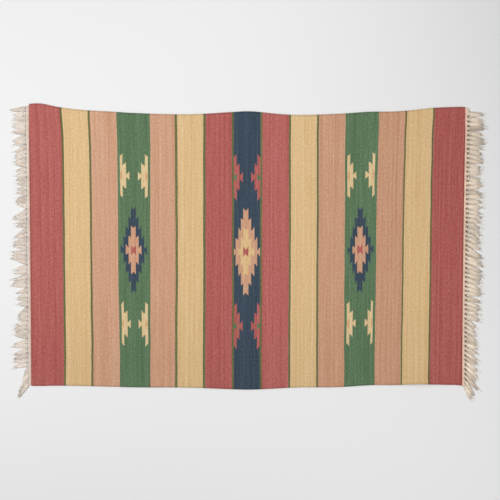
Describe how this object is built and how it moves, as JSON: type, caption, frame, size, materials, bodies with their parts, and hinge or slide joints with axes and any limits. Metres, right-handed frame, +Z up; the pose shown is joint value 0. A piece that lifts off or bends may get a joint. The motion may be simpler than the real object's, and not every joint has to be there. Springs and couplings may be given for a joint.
{
  "type": "kilim rug",
  "caption": "Flat-woven rug with coloured stripes, stepped diamond motifs and a knotted fringe along both short ends, laid flat.",
  "frame": {"origin": "on the surface that carries the rug, under the middle of its whole outline with the fringes", "axes": "+X along the warp from the left fringe to the right one, +Y across the rug, +Z up through its thickness"},
  "size_m": [1.5392, 0.9678, 0.004],
  "materials": {
    "weft_faced_weave": "matt, ribbed, striped",
    "cotton_warp": "matt twisted yarn"
  },
  "bodies": {
    "root": {"woven_cloth": "weft_faced_weave", "fringe_left": "cotton_warp", "fringe_right": "cotton_warp"}
  },
  "joints": []
}
